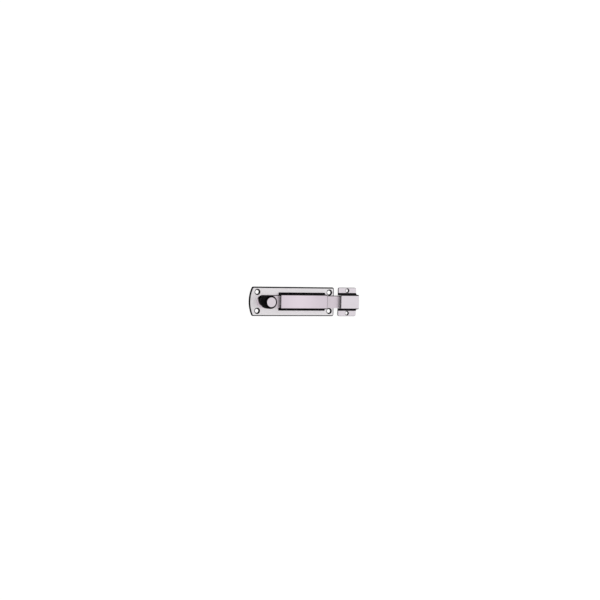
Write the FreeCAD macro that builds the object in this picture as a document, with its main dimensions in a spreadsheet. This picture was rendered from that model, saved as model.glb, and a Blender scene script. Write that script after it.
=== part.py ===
import FreeCAD, Part
import math
import os
import Sketcher

# Flat slide bolt with a knob, and its keeper.
#
# The back plate is screwed to a door leaf and the keeper to the frame beside it. A flat bar runs through
# the housing on the plate. The knob on its tail pushes the tip into the keeper's box.
#
# Frame, in millimetres: the origin is the centre of the plate's four screw holes, on its back face.
# +X runs along the bar to the keeper, +Y is across the plate, and +Z points out of the plate, to the knob.

doc = FreeCAD.newDocument("slide_bolt")

# Two lengths this close count as equal, and an edge shorter than the second counts as no edge.
SAME = 0.01
SHORTEST = 0.1
# Countersinks fit the 90 degree heads of wood screws.
SINK_ANGLE = 90
# New outlines start on a ring of this radius, before their formulas place them.
START_REACH = 20.0

# Driving dimensions: alias, value in millimetres, meaning.
SIZES = [
    ("plate_length", 103.6, "back plate, end to end"),
    ("plate_width", 32.4, "back plate, across"),
    ("plate_thick", 2.0, "back plate sheet"),
    ("plate_bulge", 3.8, "how far the knob end's arc stands out"),
    ("plate_arc_corner", 2.4, "corner radius at the arc end"),
    ("plate_square_corner", 2.2, "corner radius at the square end"),
    ("plate_edge_round", 1.2, "rounding of the plate's front edge"),
    ("edge_round_share", 0.6, "largest rounding of a sheet's edge, as a share of the sheet's thickness"),
    ("screw_left_margin", 9.6, "knob end to the first screw holes"),
    ("screw_right_margin", 6.0, "square end to the last screw holes"),
    ("screw_side_margin", 5.8, "long edge to a screw hole's centre"),
    ("plate_bore", 4.3, "plate screw hole, diameter"),
    ("plate_sink", 6.9, "plate countersink, diameter"),
    ("bar_width", 14.0, "slide bar, across"),
    ("bar_thick", 2.6, "slide bar, back to front"),
    ("bar_edge_round", 0.7, "rounding of the bar's front edges"),
    ("bar_tip_chamfer", 0.8, "chamfer of the tip's two corners"),
    ("bar_engagement", 3.0, "length of the tip inside the keeper, as stored"),
    ("travel_back", 8.0, "travel from the stored place to unlocked"),
    ("travel_forward", 14.0, "travel from the stored place to fully locked"),
    ("tail_margin", 0.8, "plate end to the tail when unlocked"),
    ("glide_gap", 0.05, "under the bar, and over the spring's crown"),
    ("side_gap", 0.12, "each side of the bar in the housing"),
    ("fixed_gap", 0.03, "round pieces that are staked or screwed"),
    ("housing_right_margin", 11.8, "housing to the plate's square end"),
    ("housing_height", 7.4, "housing above the plate"),
    ("roof_thick", 1.3, "roof of the housing and of the keeper"),
    ("wall_thick", 0.75, "side wall at the housing's top, across"),
    ("wall_lean", 0.6, "how far each side leans out down to its foot"),
    ("foot_reach", 1.6, "how far the flared foot stands out from the side"),
    ("foot_rise", 1.3, "height of the flared foot"),
    ("foot_round", 1.5, "hollow between the side and its foot"),
    ("top_edge_round", 0.75, "rounding along the top of the box section"),
    ("mouth_edge_round", 0.25, "rounding of the housing's end edges"),
    ("tab_length", 7.0, "staking tab, along the bar"),
    ("tab_thick", 1.0, "staking tab, across"),
    ("tab_end_margin", 6.0, "housing's end to a tab"),
    ("knob_height", 24.0, "knob above the bar"),
    ("knob_head", 14.8, "knob head, diameter"),
    ("knob_head_side", 13.5, "straight side of the head, edge to edge"),
    ("knob_face_round", 1.9, "rounding round the knob's face"),
    ("knob_rim_round", 6.0, "sweep from the head into the neck"),
    ("knob_foot", 9.2, "foot, diameter"),
    ("knob_foot_side", 1.4, "foot, height"),
    ("knob_foot_round", 5.0, "sweep from the neck into the foot"),
    ("knob_off_tail", 1.0, "knob's axis behind the middle of the bar's round tail"),
    ("knob_housing_gap", 1.6, "foot to the housing when fully locked"),
    ("thread", 4.0, "knob screw, diameter"),
    ("screw_head", 7.0, "knob screw's head, diameter"),
    ("screw_head_drop", 0.15, "screw head below the bar's back face"),
    ("screw_reach", 9.0, "knob screw's length inside the knob"),
    ("screw_slot_width", 1.0, "screwdriver slot, across"),
    ("screw_slot_depth", 0.8, "screwdriver slot, deep"),
    ("screw_end_chamfer", 0.5, "chamfer of the screw's end"),
    ("thread_end_gap", 1.0, "screw's end to the bottom of its hole"),
    ("spring_thick", 0.4, "leaf spring strip"),
    ("spring_width", 8.0, "leaf spring, across"),
    ("spring_seat_depth", 0.3, "seat for the spring in the bar's front"),
    ("spring_seat_gap", 0.1, "round the spring in its seat"),
    ("spring_end_margin", 2.0, "spring's end to the housing's end, at the limits"),
    ("pin_shank", 3.0, "stop pin in the plate, diameter"),
    ("pin_head", 4.4, "stop pin in the groove, diameter"),
    ("pin_stand", 0.9, "stop pin above the plate"),
    ("pin_edge_chamfer", 0.2, "chamfer of the stop pin's head"),
    ("pin_stake_sink", 0.5, "widening of the pin's staked end, radius"),
    ("groove_depth", 1.1, "stop groove in the bar's back"),
    ("groove_gap", 0.15, "round the stop pin in its groove"),
    ("keeper_gap", 5.5, "plate to keeper"),
    ("keeper_length", 22.2, "keeper, along the bar"),
    ("keeper_width", 32.2, "keeper across its flanges"),
    ("keeper_flange", 2.0, "keeper flange sheet"),
    ("keeper_side_gap", 0.35, "each side of the bar in the keeper"),
    ("keeper_corner", 1.6, "keeper flange corner radius"),
    ("keeper_edge_round", 0.5, "rounding of the flange's front edge"),
    ("keeper_side_margin", 3.4, "flange edge to a screw hole's centre"),
    ("keeper_bore", 3.4, "keeper screw hole, diameter"),
    ("keeper_sink", 5.0, "keeper countersink, diameter"),
]

# Places and sizes that follow from the driving ones.
DERIVED = [
    ("pitch_x", "plate_length - screw_left_margin - screw_right_margin", "screw holes, along"),
    ("pitch_y", "plate_width - 2 * screw_side_margin", "screw holes, across"),
    ("plate_left", "-pitch_x / 2 - screw_left_margin", "plate's arc end"),
    ("plate_right", "pitch_x / 2 + screw_right_margin", "plate's square end"),
    ("bar_back", "plate_thick + glide_gap", "bar's back face"),
    ("bar_front", "bar_back + bar_thick", "bar's front face"),
    ("tail_x", "plate_left + travel_back + tail_margin + bar_width / 2", "middle of the bar's round tail"),
    ("knob_x", "tail_x - knob_off_tail", "knob's axis"),
    ("housing_left", "knob_x + knob_foot / 2 + travel_forward + knob_housing_gap", "housing's knob end"),
    ("housing_right", "plate_right - housing_right_margin", "housing's keeper end"),
    ("box_top", "plate_thick + housing_height", "front of the housing and of the keeper"),
    ("box_roof", "box_top - roof_thick", "inside of the roof"),
    ("channel", "bar_width + 2 * side_gap", "inside width of the housing"),
    ("top_half", "channel / 2 + wall_thick", "half the box section's top"),
    ("side_half", "top_half + wall_lean", "half the box section where its foot begins"),
    ("foot_half", "side_half + foot_reach", "half the box section at its foot"),
    ("tab_y", "channel / 4 + side_half / 2 + fixed_gap", "middle of a tab from the bar's line"),
    ("keeper_left", "plate_right + keeper_gap", "keeper's mouth"),
    ("tip_x", "keeper_left + bar_engagement", "bar's tip"),
    ("keeper_channel", "bar_width + 2 * keeper_side_gap", "inside width of the keeper"),
    ("pin_x", "(housing_left + housing_right) / 2", "stop pin's axis"),
    ("spring_x", "pin_x - (travel_forward - travel_back) / 2", "spring's middle"),
    ("spring_length",
     "housing_right - housing_left - travel_forward - travel_back - 2 * spring_end_margin", "spring's length"),
    ("spring_floor", "bar_front - spring_seat_depth", "floor of the spring's seat"),
    ("spring_rise", "box_roof - glide_gap - spring_thick - spring_floor", "height of the spring's bow"),
    ("groove_length", "travel_forward + travel_back + pin_head + 2 * groove_gap", "stop groove"),
]


def make_sheet():
    """The sheet holds the driving values as numbers and the derived ones as formulas."""
    table = doc.addObject("Spreadsheet::Sheet", "Sizes")
    row = 0
    for alias, value, meaning in SIZES:
        row += 1
        table.set("A%d" % row, meaning)
        table.set("B%d" % row, str(value))
        table.setAlias("B%d" % row, alias)
    doc.recompute()
    for alias, formula, meaning in DERIVED:
        row += 1
        table.set("A%d" % row, meaning)
        table.set("B%d" % row, "=" + formula)
        table.setAlias("B%d" % row, alias)
        doc.recompute()
    return table


sheet = make_sheet()
ALIASES = [entry[0] for entry in SIZES + DERIVED]


def size(alias):
    """A value of the sheet, as a plain number."""
    return float(sheet.get(alias))


def bound(text):
    """A formula in the sheet's aliases, written for use in another object."""
    words = []
    word = ""
    for letter in text + " ":
        if letter.isalnum() or letter == "_":
            word += letter
            continue
        words.append("Sizes." + word if word in ALIASES else word)
        words.append(letter)
        word = ""
    return "".join(words).strip()


def make_body(name):
    """An empty body, named as the real piece."""
    body = doc.addObject("PartDesign::Body", name)
    body.Label = name
    return body


def make_sketch(body, name, role, along="0", across="0", height="0"):
    """A sketch on one of the body's own origin planes, moved by three formulas."""
    sketch = body.newObject("Sketcher::SketchObject", name)
    plane = next(item for item in body.Origin.OriginFeatures if item.Role == role)
    sketch.AttachmentSupport = (plane, [""])
    sketch.MapMode = "FlatFace"
    sketch.setExpression("AttachmentOffset.Base.x", bound(along))
    sketch.setExpression("AttachmentOffset.Base.y", bound(across))
    sketch.setExpression("AttachmentOffset.Base.z", bound(height))
    doc.recompute()
    return sketch


def bind_datum(sketch, kind, first, second, formula, start):
    """Holds one point at a formula's distance from the sketch's origin."""
    index = sketch.addConstraint(Sketcher.Constraint(kind, -1, 1, first, second, start))
    sketch.setExpression("Constraints[%d]" % index, bound(formula))


def ring_of_points(count, reach=START_REACH):
    """Starting places for a closed outline, which its formulas then move."""
    turns = [2 * math.pi * (step + 0.25) / count for step in range(count)]
    return [FreeCAD.Vector(reach * math.cos(turn), reach * math.sin(turn), 0) for turn in turns]


def draw_outline(sketch, corners):
    """A closed outline of straight lines. Each corner is a pair of formulas."""
    count = len(corners)
    start = ring_of_points(count)
    for step in range(count):
        sketch.addGeometry(Part.LineSegment(start[step], start[(step + 1) % count]), False)
    for step in range(count):
        sketch.addConstraint(Sketcher.Constraint("Coincident", step, 2, (step + 1) % count, 1))
    for step, (x_formula, y_formula) in enumerate(corners):
        bind_datum(sketch, "DistanceX", step, 1, x_formula, start[step].x)
        bind_datum(sketch, "DistanceY", step, 1, y_formula, start[step].y)


def draw_circles(sketch, centres, diameter):
    """Circles of one bound diameter, each at a pair of formulas."""
    places = ring_of_points(len(centres))
    for place, (x_formula, y_formula) in zip(places, centres):
        radius = size(diameter) / 2
        item = sketch.addGeometry(Part.Circle(place, FreeCAD.Vector(0, 0, 1), radius), False)
        index = sketch.addConstraint(Sketcher.Constraint("Diameter", item, 2 * radius))
        sketch.setExpression("Constraints[%d]" % index, bound(diameter))
        bind_datum(sketch, "DistanceX", item, 3, x_formula, place.x)
        bind_datum(sketch, "DistanceY", item, 3, y_formula, place.y)


def box_corners(low_x, low_y, high_x, high_y):
    """The four corners of a rectangle, from four formulas."""
    return [(low_x, low_y), (high_x, low_y), (high_x, high_y), (low_x, high_y)]


def pad(body, name, sketch, length, toward_back=False):
    """Material along the sketch's normal."""
    feature = body.newObject("PartDesign::Pad", name)
    feature.Profile = sketch
    feature.setExpression("Length", bound(length))
    feature.Reversed = toward_back
    doc.recompute()
    return feature


def pocket(body, name, sketch, depth, toward_front=False):
    """A cut against the sketch's normal, or along it, checked to have taken material away."""
    before = body.Shape.Volume
    feature = body.newObject("PartDesign::Pocket", name)
    feature.Profile = sketch
    feature.setExpression("Length", bound(depth))
    feature.Reversed = toward_front
    doc.recompute()
    if not body.Shape.Volume < before:
        raise RuntimeError(name + " cut nothing")
    return feature


def revolve(body, name, sketch):
    """A turned solid about the sketch's upright axis."""
    feature = body.newObject("PartDesign::Revolution", name)
    feature.Profile = sketch
    feature.ReferenceAxis = (sketch, ["V_Axis"])
    feature.Angle = 360
    doc.recompute()
    return feature


def turned_cut(body, name, sketch):
    """A turned cut about the sketch's upright axis, checked to have taken material away."""
    before = body.Shape.Volume
    feature = body.newObject("PartDesign::Groove", name)
    feature.Profile = sketch
    feature.ReferenceAxis = (sketch, ["V_Axis"])
    feature.Angle = 360
    doc.recompute()
    if not body.Shape.Volume < before:
        raise RuntimeError(name + " cut nothing")
    return feature


def screw_holes(body, name, sketch, bore, sink):
    """Countersunk through holes for screws that come from the front."""
    before = body.Shape.Volume
    doc.recompute()
    feature = body.newObject("PartDesign::Hole", name)
    feature.Profile = sketch
    feature.Threaded = False
    feature.ThreadType = "None"
    feature.DepthType = "ThroughAll"
    feature.setExpression("Diameter", bound(bore))
    feature.HoleCutType = "Countersink"
    feature.HoleCutCustomValues = True
    feature.setExpression("HoleCutDiameter", bound(sink))
    feature.HoleCutCountersinkAngle = SINK_ANGLE
    doc.recompute()
    if not body.Shape.Volume < before:
        raise RuntimeError(name + " cut nothing")
    return feature


def edges_where(shape, test):
    """Names of the shape's edges that pass a test."""
    return ["Edge%d" % (step + 1) for step, edge in enumerate(shape.Edges) if test(edge)]


def soften(body, name, kind, radius, test):
    """A fillet or chamfer on the tip's edges that pass a test."""
    base = body.Tip
    names = edges_where(base.Shape, test)
    if not names:
        raise RuntimeError(name + " found no edge")
    feature = body.newObject("PartDesign::" + kind, name)
    feature.Base = (base, names)
    value = "Radius" if kind == "Fillet" else "Size"
    feature.setExpression(value, bound(radius))
    doc.recompute()
    return feature


def near(first, second):
    """True where two lengths count as equal."""
    return abs(first - second) < SAME


def lies_at_height(edge, height):
    """True for an edge that lies flat at one height."""
    return near(edge.BoundBox.ZMin, height) and near(edge.BoundBox.ZMax, height)


def stands_upright(edge):
    """True for a straight edge along Z."""
    box = edge.BoundBox
    return near(box.XLength, 0) and near(box.YLength, 0) and box.ZLength > SHORTEST


def runs_along_bar(edge):
    """True for a straight edge along X."""
    box = edge.BoundBox
    return near(box.YLength, 0) and near(box.ZLength, 0) and box.XLength > SHORTEST


def build_back_plate():
    """The sheet with its arc end, four screw holes, four tab slots and the stop pin's hole."""
    body = make_body("back_plate")
    outline = make_sketch(body, "plate_outline", "XY_Plane")
    left = size("plate_left")
    right = size("plate_right")
    bulge = size("plate_bulge")
    half = size("plate_width") / 2
    low_left = FreeCAD.Vector(left + bulge, -half, 0)
    low_right = FreeCAD.Vector(right, -half, 0)
    high_right = FreeCAD.Vector(right, half, 0)
    high_left = FreeCAD.Vector(left + bulge, half, 0)
    outline.addGeometry(Part.LineSegment(low_left, low_right), False)
    outline.addGeometry(Part.LineSegment(low_right, high_right), False)
    outline.addGeometry(Part.LineSegment(high_right, high_left), False)
    outline.addGeometry(Part.Arc(high_left, FreeCAD.Vector(left, 0, 0), low_left), False)
    for first, first_end, second, second_end in ((0, 2, 1, 1), (1, 2, 2, 1), (2, 2, 3, 1), (3, 2, 0, 1)):
        outline.addConstraint(Sketcher.Constraint("Coincident", first, first_end, second, second_end))
    bind_datum(outline, "DistanceX", 0, 1, "plate_left + plate_bulge", left + bulge)
    bind_datum(outline, "DistanceY", 0, 1, "-plate_width / 2", -half)
    bind_datum(outline, "DistanceX", 1, 1, "plate_right", right)
    bind_datum(outline, "DistanceY", 1, 1, "-plate_width / 2", -half)
    bind_datum(outline, "DistanceX", 2, 1, "plate_right", right)
    bind_datum(outline, "DistanceY", 2, 1, "plate_width / 2", half)
    bind_datum(outline, "DistanceX", 2, 2, "plate_left + plate_bulge", left + bulge)
    bind_datum(outline, "DistanceY", 2, 2, "plate_width / 2", half)
    radius = (bulge ** 2 + half ** 2) / (2 * bulge)
    index = outline.addConstraint(Sketcher.Constraint("Radius", 3, radius))
    outline.setExpression(
        "Constraints[%d]" % index, bound("(plate_bulge ^ 2 + plate_width ^ 2 / 4) / (2 * plate_bulge)"))
    doc.recompute()
    pad(body, "plate_sheet", outline, "plate_thick")

    middle = (left + right) / 2
    soften(body, "square_corners", "Fillet", "plate_square_corner",
           lambda edge: stands_upright(edge) and edge.BoundBox.XMin > middle)
    soften(body, "arc_corners", "Fillet", "plate_arc_corner",
           lambda edge: stands_upright(edge) and edge.BoundBox.XMin < middle)
    soften(body, "front_edge", "Fillet", "min(plate_edge_round; plate_thick * edge_round_share)",
           lambda edge: lies_at_height(edge, size("plate_thick")))

    holes = make_sketch(body, "screw_places", "XY_Plane", height="plate_thick")
    corners = [(x + "pitch_x / 2", y + "pitch_y / 2") for x in ("-", "") for y in ("-", "")]
    draw_circles(holes, corners, "plate_bore")
    screw_holes(body, "screw_holes", holes, "plate_bore", "plate_sink")

    slots = make_sketch(body, "tab_slots_outline", "XY_Plane", height="plate_thick")
    draw_tabs(slots, "fixed_gap")
    pocket(body, "tab_slots", slots, "plate_thick")

    pin_hole = make_sketch(body, "pin_hole_outline", "XZ_Plane", along="pin_x")
    reach = "pin_shank / 2 + fixed_gap"
    draw_outline(pin_hole, [
        ("0", "0"), (reach + " + pin_stake_sink", "0"), (reach, "pin_stake_sink"),
        (reach, "plate_thick"), ("0", "plate_thick")])
    turned_cut(body, "pin_hole", pin_hole)
    return body


def draw_tabs(sketch, clearance):
    """Four rectangles, one for each staking tab, with a clearance round them."""
    half_long = "tab_length + " + clearance
    for end in ("low", "high"):
        if end == "low":
            low_x = "housing_left + tab_end_margin - " + clearance
            high_x = "housing_left + tab_end_margin + " + half_long
        else:
            low_x = "housing_right - tab_end_margin - " + half_long.replace("+", "-")
            high_x = "housing_right - tab_end_margin + " + clearance
        for side in ("-", "+"):
            low_y = "0 %s tab_y - tab_thick / 2 - %s" % (side, clearance)
            high_y = "0 %s tab_y + tab_thick / 2 + %s" % (side, clearance)
            draw_rectangle(sketch, low_x, low_y, high_x, high_y)


def draw_rectangle(sketch, low_x, low_y, high_x, high_y):
    """One closed rectangle added to a sketch that may hold others."""
    first = sketch.GeometryCount
    start = ring_of_points(4, START_REACH + first)
    for step in range(4):
        sketch.addGeometry(Part.LineSegment(start[step], start[(step + 1) % 4]), False)
    for step in range(4):
        sketch.addConstraint(Sketcher.Constraint("Coincident", first + step, 2, first + (step + 1) % 4, 1))
    for step, (x_formula, y_formula) in enumerate(box_corners(low_x, low_y, high_x, high_y)):
        bind_datum(sketch, "DistanceX", first + step, 1, x_formula, start[step].x)
        bind_datum(sketch, "DistanceY", first + step, 1, y_formula, start[step].y)


def build_housing():
    """The box section over the bar, with four tabs that are staked in the plate."""
    body = make_body("housing")
    section = make_sketch(body, "housing_section", "YZ_Plane", height="housing_left")
    knee = "plate_thick + foot_rise"
    draw_outline(section, [
        ("-foot_half", "plate_thick"), ("-channel / 2", "plate_thick"), ("-channel / 2", "box_roof"),
        ("channel / 2", "box_roof"), ("channel / 2", "plate_thick"), ("foot_half", "plate_thick"),
        ("side_half", knee), ("top_half", "box_top"), ("-top_half", "box_top"), ("-side_half", knee)])
    pad(body, "housing_box", section, "housing_right - housing_left")
    top = size("box_top")
    knee_height = size("plate_thick") + size("foot_rise")
    soften(body, "housing_feet", "Fillet", "foot_round",
           lambda edge: runs_along_bar(edge) and lies_at_height(edge, knee_height))
    soften(body, "housing_long_edges", "Fillet", "top_edge_round",
           lambda edge: runs_along_bar(edge) and lies_at_height(edge, top))
    soften(body, "housing_end_edges", "Fillet", "mouth_edge_round",
           lambda edge: lies_at_height(edge, top) and near(edge.BoundBox.XLength, 0))

    tabs = make_sketch(body, "tabs_outline", "XY_Plane", height="plate_thick")
    draw_tabs(tabs, "0")
    pad(body, "tabs", tabs, "plate_thick - fixed_gap", toward_back=True)
    return body


def build_slide_bar():
    """The flat bar: round tail, chamfered tip, spring seat in front, stop groove and screw hole behind."""
    body = make_body("slide_bar")
    outline = make_sketch(body, "bar_outline", "XY_Plane", height="bar_back")
    half = size("bar_width") / 2
    tail_x = size("tail_x")
    tip = size("tip_x")
    low_tail = FreeCAD.Vector(tail_x, -half, 0)
    low_tip = FreeCAD.Vector(tip, -half, 0)
    high_tip = FreeCAD.Vector(tip, half, 0)
    high_tail = FreeCAD.Vector(tail_x, half, 0)
    outline.addGeometry(Part.LineSegment(low_tail, low_tip), False)
    outline.addGeometry(Part.LineSegment(low_tip, high_tip), False)
    outline.addGeometry(Part.LineSegment(high_tip, high_tail), False)
    outline.addGeometry(Part.Arc(high_tail, FreeCAD.Vector(tail_x - half, 0, 0), low_tail), False)
    for first, first_end, second, second_end in ((0, 2, 1, 1), (1, 2, 2, 1), (2, 2, 3, 1), (3, 2, 0, 1)):
        outline.addConstraint(Sketcher.Constraint("Coincident", first, first_end, second, second_end))
    bind_datum(outline, "DistanceX", 3, 3, "tail_x", tail_x)
    bind_datum(outline, "DistanceX", 0, 1, "tail_x", tail_x)
    bind_datum(outline, "DistanceY", 0, 1, "-bar_width / 2", -half)
    bind_datum(outline, "DistanceX", 1, 1, "tip_x", tip)
    bind_datum(outline, "DistanceY", 1, 1, "-bar_width / 2", -half)
    bind_datum(outline, "DistanceX", 2, 1, "tip_x", tip)
    bind_datum(outline, "DistanceY", 2, 1, "bar_width / 2", half)
    bind_datum(outline, "DistanceX", 2, 2, "tail_x", tail_x)
    bind_datum(outline, "DistanceY", 2, 2, "bar_width / 2", half)
    doc.recompute()
    pad(body, "bar_flat", outline, "bar_thick")

    front = size("bar_front")
    soften(body, "tip_corners", "Chamfer", "bar_tip_chamfer",
           lambda edge: stands_upright(edge) and near(edge.BoundBox.XMin, tip))
    soften(body, "bar_front_edges", "Fillet", "bar_edge_round",
           lambda edge: lies_at_height(edge, front))

    seat = make_sketch(body, "spring_seat_outline", "XY_Plane", height="bar_front")
    reach_x = "spring_length / 2 + spring_seat_gap"
    reach_y = "spring_width / 2 + spring_seat_gap"
    draw_outline(seat, box_corners(
        "spring_x - " + reach_x.replace("+", "-"), "-(%s)" % reach_y, "spring_x + " + reach_x, reach_y))
    pocket(body, "spring_seat", seat, "spring_seat_depth")

    groove = make_sketch(body, "stop_groove_outline", "XY_Plane", height="bar_back")
    groove_half = "pin_head / 2 + groove_gap"
    draw_outline(groove, box_corners(
        "spring_x - groove_length / 2", "-(%s)" % groove_half, "spring_x + groove_length / 2", groove_half))
    pocket(body, "stop_groove", groove, "groove_depth", toward_front=True)

    hole = make_sketch(body, "knob_hole_outline", "XZ_Plane", along="knob_x")
    bore = "thread / 2 + fixed_gap"
    sink = "screw_head / 2 + fixed_gap"
    draw_outline(hole, [
        ("0", "bar_back"), (sink, "bar_back"), (sink, "bar_back + screw_head_drop"),
        (bore, "bar_back + screw_head_drop + screw_head / 2 - thread / 2"), (bore, "bar_front"),
        ("0", "bar_front")])
    turned_cut(body, "knob_hole", hole)
    return body


def build_knob():
    """The turned knob: foot, flared neck, straight head, and a blind hole for its screw."""
    body = make_body("knob")
    profile = make_sketch(body, "knob_profile", "XZ_Plane", along="knob_x")
    hole = "thread / 2 + fixed_gap"
    depth = "bar_front + screw_reach + thread_end_gap"
    head_low = "bar_front + knob_height - knob_head_side"
    draw_outline(profile, [
        ("0", depth), (hole, depth), (hole, "bar_front"), ("knob_foot / 2", "bar_front"),
        ("knob_foot / 2", "bar_front + knob_foot_side"), ("knob_head / 2", head_low),
        ("knob_head / 2", "bar_front + knob_height"),
        ("0", "bar_front + knob_height")])
    revolve(body, "knob_turning", profile)

    face = size("bar_front") + size("knob_height")
    rim = face - size("knob_head_side")
    foot = size("bar_front") + size("knob_foot_side")
    wide = size("knob_head")
    soften(body, "foot_sweep", "Fillet", "knob_foot_round", lambda edge: lies_at_height(edge, foot))
    soften(body, "face_edge", "Fillet", "knob_face_round",
           lambda edge: lies_at_height(edge, face) and near(edge.BoundBox.XLength, wide))
    soften(body, "head_sweep", "Fillet", "knob_rim_round",
           lambda edge: lies_at_height(edge, rim) and near(edge.BoundBox.XLength, wide))
    return body


def build_knob_screw():
    """The countersunk screw that holds the knob, from the bar's back."""
    body = make_body("knob_screw")
    profile = make_sketch(body, "knob_screw_profile", "XZ_Plane", along="knob_x")
    low = "bar_back + screw_head_drop"
    end = "bar_front + screw_reach"
    draw_outline(profile, [
        ("0", low), ("screw_head / 2", low), ("thread / 2", low + " + screw_head / 2 - thread / 2"),
        ("thread / 2", end + " - screw_end_chamfer"), ("thread / 2 - screw_end_chamfer", end), ("0", end)])
    revolve(body, "knob_screw_turning", profile)
    slot = make_sketch(body, "screw_slot_outline", "XY_Plane", along="knob_x", height=low)
    draw_outline(slot, box_corners(
        "-screw_head", "-screw_slot_width / 2", "screw_head", "screw_slot_width / 2"))
    pocket(body, "screw_slot", slot, "screw_slot_depth", toward_front=True)
    return body


def build_friction_spring():
    """The bowed leaf: its ends sit in the bar's seat and its crown bears on the housing's roof."""
    body = make_body("friction_spring")
    profile = make_sketch(body, "spring_profile", "XZ_Plane", along="spring_x")
    half = size("spring_length") / 2
    floor = size("spring_floor")
    rise = size("spring_rise")
    thick = size("spring_thick")
    low_left = FreeCAD.Vector(-half, floor, 0)
    low_right = FreeCAD.Vector(half, floor, 0)
    high_left = FreeCAD.Vector(-half, floor + thick, 0)
    high_right = FreeCAD.Vector(half, floor + thick, 0)
    profile.addGeometry(Part.Arc(low_left, FreeCAD.Vector(0, floor + rise, 0), low_right), False)
    profile.addGeometry(Part.LineSegment(low_right, high_right), False)
    profile.addGeometry(Part.Arc(high_right, FreeCAD.Vector(0, floor + rise + thick, 0), high_left), False)
    profile.addGeometry(Part.LineSegment(high_left, low_left), False)
    # An arc drawn either way runs counterclockwise in the sketch, from its right end to its left end.
    for first, first_end, second, second_end in ((0, 1, 1, 1), (1, 2, 2, 1), (2, 2, 3, 1), (3, 2, 0, 2)):
        profile.addConstraint(Sketcher.Constraint("Coincident", first, first_end, second, second_end))
    bind_datum(profile, "DistanceX", 1, 1, "spring_length / 2", half)
    bind_datum(profile, "DistanceY", 1, 1, "spring_floor", floor)
    bind_datum(profile, "DistanceX", 1, 2, "spring_length / 2", half)
    bind_datum(profile, "DistanceY", 1, 2, "spring_floor + spring_thick", floor + thick)
    bind_datum(profile, "DistanceX", 3, 1, "-spring_length / 2", -half)
    bind_datum(profile, "DistanceY", 3, 1, "spring_floor + spring_thick", floor + thick)
    bind_datum(profile, "DistanceX", 3, 2, "-spring_length / 2", -half)
    bind_datum(profile, "DistanceY", 3, 2, "spring_floor", floor)
    radius = (rise ** 2 + half ** 2) / (2 * rise)
    for arc in (0, 2):
        index = profile.addConstraint(Sketcher.Constraint("Radius", arc, radius))
        profile.setExpression(
            "Constraints[%d]" % index, bound("(spring_rise ^ 2 + spring_length ^ 2 / 4) / (2 * spring_rise)"))
    doc.recompute()
    leaf = pad(body, "spring_leaf", profile, "spring_width")
    leaf.Midplane = True
    doc.recompute()
    return body


def build_stop_pin():
    """The pin that is staked in the plate and stands in the bar's groove."""
    body = make_body("stop_pin")
    profile = make_sketch(body, "stop_pin_profile", "XZ_Plane", along="pin_x")
    top = "plate_thick + pin_stand"
    draw_outline(profile, [
        ("0", "fixed_gap"), ("pin_shank / 2 + pin_stake_sink - fixed_gap", "fixed_gap"),
        ("pin_shank / 2", "pin_stake_sink"), ("pin_shank / 2", "plate_thick"),
        ("pin_head / 2", "plate_thick"), ("pin_head / 2", top + " - pin_edge_chamfer"),
        ("pin_head / 2 - pin_edge_chamfer", top), ("0", top)])
    revolve(body, "stop_pin_turning", profile)
    return body


def build_keeper():
    """The box that takes the bar's tip, with a flange and a screw hole on each side."""
    body = make_body("keeper")
    section = make_sketch(body, "keeper_section", "YZ_Plane", height="keeper_left")
    knee = "keeper_flange + foot_rise"
    draw_outline(section, [
        ("-keeper_width / 2", "0"), ("-keeper_channel / 2", "0"), ("-keeper_channel / 2", "box_roof"),
        ("keeper_channel / 2", "box_roof"), ("keeper_channel / 2", "0"), ("keeper_width / 2", "0"),
        ("keeper_width / 2", "keeper_flange"), ("foot_half", "keeper_flange"), ("side_half", knee),
        ("top_half", "box_top"), ("-top_half", "box_top"), ("-side_half", knee),
        ("-foot_half", "keeper_flange"), ("-keeper_width / 2", "keeper_flange")])
    pad(body, "keeper_box", section, "keeper_length")
    knee_height = size("keeper_flange") + size("foot_rise")
    soften(body, "keeper_feet", "Fillet", "foot_round",
           lambda edge: runs_along_bar(edge) and lies_at_height(edge, knee_height))

    outer = size("keeper_width") / 2
    flange = size("keeper_flange")
    top_height = size("box_top")
    soften(body, "flange_corners", "Fillet", "keeper_corner",
           lambda edge: stands_upright(edge) and near(abs(edge.BoundBox.YMin), outer))
    soften(body, "flange_edges", "Fillet", "min(keeper_edge_round; keeper_flange * edge_round_share)",
           lambda edge: lies_at_height(edge, flange) and near(
               max(abs(edge.BoundBox.YMin), abs(edge.BoundBox.YMax)), outer))
    soften(body, "keeper_long_edges", "Fillet", "top_edge_round",
           lambda edge: runs_along_bar(edge) and lies_at_height(edge, top_height))

    holes = make_sketch(body, "keeper_screw_places", "XY_Plane", height="keeper_flange")
    middle = "keeper_left + keeper_length / 2"
    draw_circles(holes, [
        (middle, "keeper_side_margin - keeper_width / 2"), (middle, "keeper_width / 2 - keeper_side_margin")],
        "keeper_bore")
    screw_holes(body, "keeper_screw_holes", holes, "keeper_bore", "keeper_sink")
    return body


def check_document():
    """Stops if any object of the document failed."""
    for item in doc.Objects:
        for word in item.State:
            if word in ("Invalid", "Error"):
                raise RuntimeError("%s is %s" % (item.Name, word))


def write_pieces(bodies):
    """Checks each piece and writes it to parts/, then prints its size."""
    os.makedirs("parts", exist_ok=True)
    for body in bodies:
        shape = body.Shape
        if shape.isNull() or not shape.isValid():
            raise RuntimeError(body.Label + " has no valid shape")
        if len(shape.Solids) != 1:
            raise RuntimeError("%s has %d solids" % (body.Label, len(shape.Solids)))
    for body in bodies:
        box = body.Shape.BoundBox
        body.Shape.exportStep("parts/%s.step" % body.Label)
        print("%-16s x %.2f..%.2f  y %.2f..%.2f  z %.2f..%.2f  volume %.1f" % (
            body.Label, box.XMin, box.XMax, box.YMin, box.YMax, box.ZMin, box.ZMax, body.Shape.Volume))


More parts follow.
